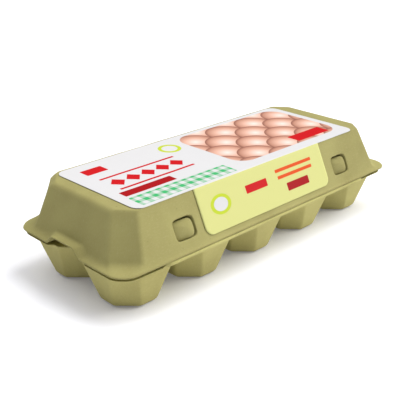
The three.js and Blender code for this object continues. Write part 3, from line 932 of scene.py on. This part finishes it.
# Places are (u, v) in millimetres on the unfolded sheet, u along the carton from its middle and v
# from the fold, back over the top and negative down the flap.
printed = {
    "paper": tone(200, 199, 199),
    "flap": tone(197, 197, 126),
    "red": tone(184, 16, 22),
    "darkRed": tone(152, 12, 18),
    "orange": tone(204, 76, 28),
    "lime": tone(178, 192, 52),
    "green": tone(60, 165, 100),
    "cream": tone(226, 210, 200),
    "blush": tone(210, 166, 146),
    "clay": tone(180, 130, 110),
    "shade": tone(128, 84, 70),
    "blur": 0.12,            # half width of a printed edge
    # fields: middle, half size and corner radius
    "scallopField": ((44, 42), (52, 33), 12),
    "ginghamField": ((-58, 9.5), (39, 6.5), 1),
    "chainField": ((-61, 40), (30.2, 8), 1),
    "scallop": 15.0,         # radius of one scallop of the pattern
    "scallopTones": [(0.0, "cream"), (0.5, "blush"), (0.84, "clay"), (1.0, "shade")],
    "check": 7.0,            # width of one pair of the gingham's stripes
    "checkBlur": 0.02,       # of that width
    "lozenge": {"shift": 1, "halfPitch": 6, "half": (5.4, 6), "height": 40, "blur": 0.03},
    "bars": [
        ("red", (-61, 50), (30.2, 1.0), 0.5),
        ("red", (-61, 30), (30.2, 1.0), 0.5),
        ("darkRed", (-76, 22.4), (20, 3.6), 0.6),
        ("red", (-84, 65), (8, 4.5), 0.8),
        ("red", (70, 17), (17, 5.5), 0.8),
        ("red", (-10, -12), (10, 2.6), 0.5),
        ("orange", (28, -8), (18.4, 1.1), 0.5),
        ("orange", (28, -12.6), (17.48, 1.1), 0.5),
        ("darkRed", (28, -20.4), (11, 2.7), 0.6),
    ],
    "badges": [((-22, 63), (8, 8)), ((-43.2, -14.3), (8.6, 6.2))],
    "badgeInner": 0.68,      # of a badge's size, its white middle
    # the paper itself
    "grain": {"Scale": 900.0, "Detail": 4.0},
    "wear": {"Scale": 60.0, "Detail": 3.0},
    "roughness": (0.45, 0.6),
    "grainHeight": 0.008,
    "specular": 0.1,
}


# Returns three makers of masks, 1 inside and 0 outside: `below` where a value is under a limit, `box`
# where length(max(|p| - half + r, 0)) < r, and `ellipse` where length(p / half) < 1.
def fieldMakers(add, place):
    blur = printed["blur"]

    def vector(operation, a, b=(0, 0, 0)):
        node = add("ShaderNodeVectorMath", {0: a, 1: b}, operation=operation)
        return node.outputs["Value"] if operation == "LENGTH" else node.outputs[0]

    def below(value, limit, blur=blur):
        edge = {"From Min": limit - blur, "From Max": limit + blur, "To Min": 1, "To Max": 0}
        return add("ShaderNodeMapRange", {"Value": value, **edge}).outputs[0]

    def box(centre, half, radius):
        inputs = {"Vector": place, "Location": (*centre, 0)}
        local = add("ShaderNodeMapping", inputs, vector_type="TEXTURE").outputs[0]
        inner = (half[0] - radius, half[1] - radius, 1)
        outside = vector("MAXIMUM", vector("SUBTRACT", vector("ABSOLUTE", local), inner))
        return below(vector("LENGTH", outside), radius)

    def ellipse(centre, half):
        inputs = {"Vector": place, "Location": (*centre, 0), "Scale": (*half, 1)}
        local = add("ShaderNodeMapping", inputs, vector_type="TEXTURE").outputs[0]
        return below(vector("LENGTH", local), 1, blur / max(half))

    return below, box, ellipse


# Scallops: rows of half-hidden discs, each row over the one behind it and shifted by half. The tone
# follows the distance from the disc's middle. So many rows are added to v that it stays positive.
def scallopColour(add, calc, lay, below, u, v):
    size, rowsAdded = printed["scallop"], 40
    down = calc("FRACT", calc("DIVIDE", v, size))
    row = calc("FLOOR", calc("DIVIDE", calc("ADD", v, rowsAdded * size), size))
    shifted = calc("ADD", calc("DIVIDE", u, size), calc("MODULO", row, 2))
    across = calc("PINGPONG", shifted, 1)

    def length(a, b):
        return calc("SQRT", calc("ADD", calc("MULTIPLY", a, a), calc("MULTIPLY", b, b)))

    nearDisc = length(across, down)
    farDisc = length(calc("SUBTRACT", 1, across), calc("SUBTRACT", 1, down))
    isNear = below(nearDisc, 1, printed["blur"] / size)
    ramp = add("ShaderNodeValToRGB", {0: lay(farDisc, isNear, nearDisc)})
    elements = ramp.color_ramp.elements
    while len(elements) < len(printed["scallopTones"]):
        elements.new(0.5)
    for element, (position, name) in zip(elements, printed["scallopTones"]):
        element.position = position
        element.color = printed[name]
    return ramp.outputs[0]


# Gingham: two crossed stripes, half tone where one shows and full where both do.
def ginghamColour(calc, lay, below, u, v):
    check, checksAdded = printed["check"], 100
    stripes = []
    for place in (u, v):
        share = calc("FRACT", calc("DIVIDE", calc("ADD", place, checksAdded * check), check))
        stripes.append(below(share, 0.5, printed["checkBlur"]))
    return lay(printed["paper"], calc("MULTIPLY", calc("ADD", *stripes), 0.5), printed["green"])


# A chain of lozenges, each where |u| / a + |v| / b < 1 from its own middle.
def lozengeMask(calc, below, u, v):
    lozenge = printed["lozenge"]
    along = calc("PINGPONG", calc("ADD", u, lozenge["shift"]), lozenge["halfPitch"])
    up = calc("ABSOLUTE", calc("SUBTRACT", v, lozenge["height"]))
    halfU, halfV = lozenge["half"]
    return below(calc("ADD", calc("DIVIDE", along, halfU), calc("DIVIDE", up, halfV)), 1, lozenge["blur"])


# Printed paper: white on top and pale yellow-green on the flap, with its fields, bars and badges each
# laid over what is under it, a fine grain and a gloss that varies a little.
def labelMaterial():
    look = printed
    material = bpy.data.materials.new("printed_paper")
    add, calc, lay = nodeMakers(material)
    sheet = add("ShaderNodeUVMap", uv_map="sheet").outputs[0]
    unit = (label["uvUnit"], label["uvUnit"], 0)
    place = add("ShaderNodeVectorMath", {0: sheet, 1: unit}, operation="MULTIPLY").outputs[0]
    u, v = add("ShaderNodeSeparateXYZ", {0: place}).outputs[:2]
    below, box, ellipse = fieldMakers(add, place)
    colour = lay(look["flap"], below(calc("MULTIPLY", v, -1), 0), look["paper"])
    colour = lay(colour, box(*look["scallopField"]), scallopColour(add, calc, lay, below, u, v))
    colour = lay(colour, box(*look["ginghamField"]), ginghamColour(calc, lay, below, u, v))
    chain = calc("MULTIPLY", lozengeMask(calc, below, u, v), box(*look["chainField"]))
    colour = lay(colour, chain, look["red"])
    for name, centre, half, radius in look["bars"]:
        colour = lay(colour, box(centre, half, radius), look[name])
    for centre, half in look["badges"]:
        inner = [reach * look["badgeInner"] for reach in half]
        colour = lay(colour, ellipse(centre, half), look["lime"])
        colour = lay(colour, ellipse(centre, inner), look["paper"])
    spot = add("ShaderNodeTexCoord").outputs["Object"]
    grain = add("ShaderNodeTexNoise", {"Vector": spot, **look["grain"]}).outputs["Fac"]
    wear = add("ShaderNodeTexNoise", {"Vector": spot, **look["wear"]}).outputs["Fac"]
    smooth, rough = look["roughness"]
    gloss = add("ShaderNodeMapRange", {"Value": wear, "To Min": smooth, "To Max": rough})
    bump = add("ShaderNodeBump", {"Height": grain, "Distance": look["grainHeight"] * mm})
    shader = add("ShaderNodeBsdfPrincipled", {
        "Base Color": colour,
        "Roughness": gloss.outputs[0],
        "Specular IOR Level": look["specular"],
        "Normal": bump.outputs[0],
    })
    add("ShaderNodeOutputMaterial", {"Surface": shader.outputs[0]})
    print("printed_paper mixed")
    return material


stage = {
    "floorHalf": 40.0,       # metres, so that its far edge doesn't show in a low view
    "floorColour": (0.84, 0.84, 0.86, 1.0),
    "floorGlow": (0.1, 0.1, 0.12, 1.0),        # keeps the soft shadows pale
    "sky": 0.1,
    "skyColour": (0.86, 0.86, 1.0, 1.0),
    # name, strength, angle across, azimuth from +X towards +Y, elevation
    "suns": [
        ("key", 3.3, 50, -33, 56),
        ("sideFill", 0.1, 30, -105, 35),
        ("lowFront", 1.0, 25, -40, 9),
        ("backTop", 1.9, 70, 105, 66),
    ],
}

# the lens and the sensor's width are Blender's own millimetres
view = {
    "azimuth": -134.55,      # from +X towards +Y, as of the suns
    "elevation": 23.24,
    "distance": 513.04,
    "target": (-19.63, -1.61, 31.0),
    "lens": 68.96,
    "sensorWidth": 36,
}


# Unit vector at an azimuth from +X towards +Y and an elevation.
def directionTo(azimuth, elevation):
    flat = cos(radians(elevation))
    return Vector((flat * cos(radians(azimuth)), flat * sin(radians(azimuth)), sin(radians(elevation))))


# A wide pale floor, soft suns and a faint sky.
def buildStage():
    half = stage["floorHalf"]
    corners = [(-half, -half, 0), (half, -half, 0), (half, half, 0), (-half, half, 0)]
    mesh = bpy.data.meshes.new("floor")
    mesh.from_pydata(corners, [], [(0, 1, 2, 3)])
    floor = bpy.data.objects.new("floor", mesh)
    scene.collection.objects.link(floor)
    material = bpy.data.materials.new("pale_floor")
    add = nodeMakers(material)[0]
    shader = add("ShaderNodeBsdfPrincipled", {
        "Base Color": stage["floorColour"],
        "Roughness": 1.0,
        "Specular IOR Level": 0.0,
        "Emission Color": stage["floorGlow"],
        "Emission Strength": 1.0,
    })
    add("ShaderNodeOutputMaterial", {"Surface": shader.outputs[0]})
    mesh.materials.append(material)
    for name, strength, across, azimuth, elevation in stage["suns"]:
        light = bpy.data.lights.new(name, "SUN")
        light.energy = strength
        light.angle = radians(across)
        lamp = bpy.data.objects.new(name, light)
        scene.collection.objects.link(lamp)
        towards = directionTo(azimuth, elevation)
        lamp.rotation_euler = towards.to_track_quat("Z", "Y").to_euler()
    world = bpy.data.worlds.new("studio")
    world.use_nodes = True
    sky = world.node_tree.nodes["Background"]
    sky.inputs["Color"].default_value = stage["skyColour"]
    sky.inputs["Strength"].default_value = stage["sky"]
    scene.world = world
    scene.view_settings.view_transform = "Standard"
    print("floor and lights set")


# A camera that looks at the target from its azimuth, elevation and distance.
def buildCamera():
    lens = bpy.data.cameras.new("camera")
    lens.lens = view["lens"]
    lens.sensor_width = view["sensorWidth"]
    camera = bpy.data.objects.new("camera", lens)
    scene.collection.objects.link(camera)
    back = directionTo(view["azimuth"], view["elevation"])
    camera.location = (Vector(view["target"]) + back * view["distance"]) * mm
    camera.rotation_euler = back.to_track_quat("Z", "Y").to_euler()
    scene.camera = camera
    print("camera set")


buildCamera()
buildStage()
# the lid and the tongues get darker copies of the tray's pulp, painted shade
shadedLidPulp = pulpMaterial("lid_pulp_painted_shade", pulpLook["shade"]["lid"])
shadedTonguePulp = pulpMaterial("tongue_pulp_painted_shade", pulpLook["shade"]["tongue"])
trayPulp = pulpMaterial("tray_pulp", pulpLook["shade"]["tray"])
buildLid(shadedLidPulp)
buildTongue("tongue_left", "latch_tab_left", -latch["fromMiddle"], shadedTonguePulp)
buildTongue("tongue_right", "latch_tab_right", latch["fromMiddle"], shadedTonguePulp)
buildTray(trayPulp)
buildFold(trayPulp)
buildLabel(labelMaterial())
